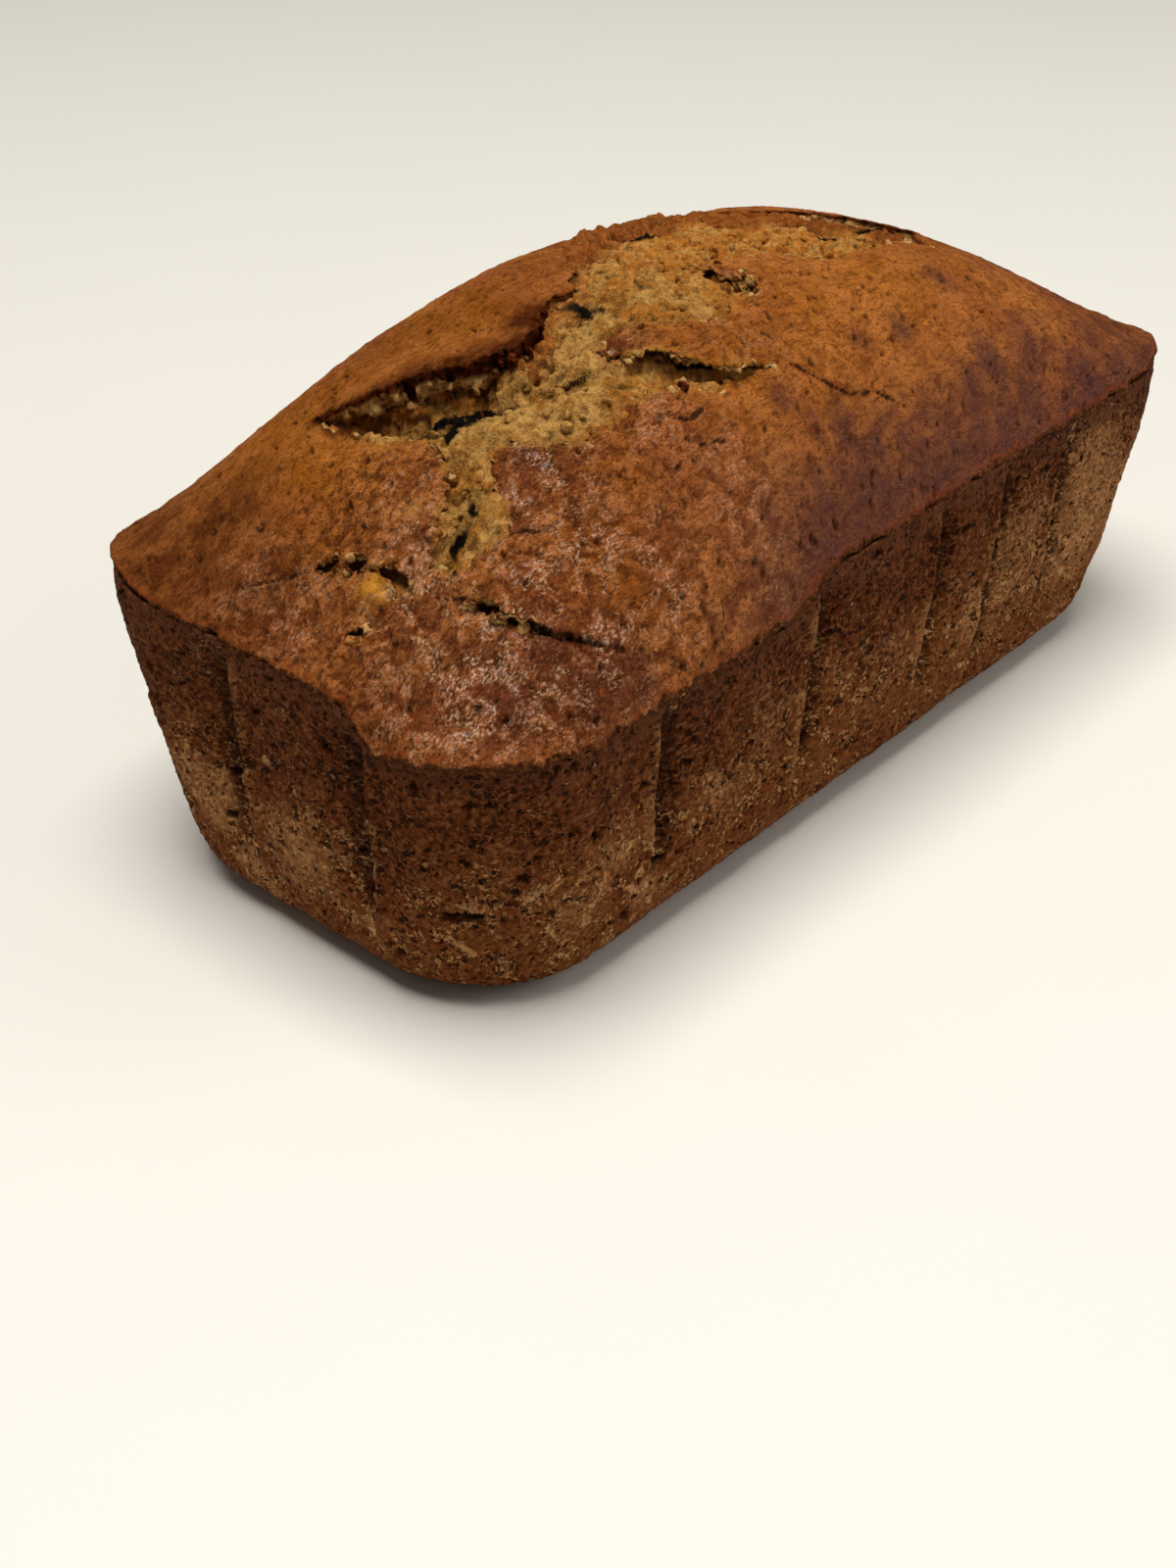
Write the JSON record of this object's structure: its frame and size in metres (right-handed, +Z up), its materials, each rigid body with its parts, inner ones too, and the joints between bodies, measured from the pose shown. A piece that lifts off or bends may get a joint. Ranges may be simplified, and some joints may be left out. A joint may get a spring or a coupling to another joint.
{
  "type": "banana bread loaf",
  "caption": "Uncut quick bread loaf baked in a rectangular tin, with a high domed crust split along its crest and a flat base to rest on.",
  "frame": {"origin": "middle of the flat base, at the level it rests on", "axes": "+X along the loaf's length, +Y across its width, +Z up through the dome; the deep end of the split lies towards -X"},
  "size_m": [0.2372, 0.1152, 0.112],
  "materials": {
    "baked_crust": "golden to dark brown baked crust, softly glossy on the dome, dull and porous on the sides, tan crumb in the split"
  },
  "bodies": {
    "root": {"banana_bread": "baked_crust"}
  },
  "joints": []
}
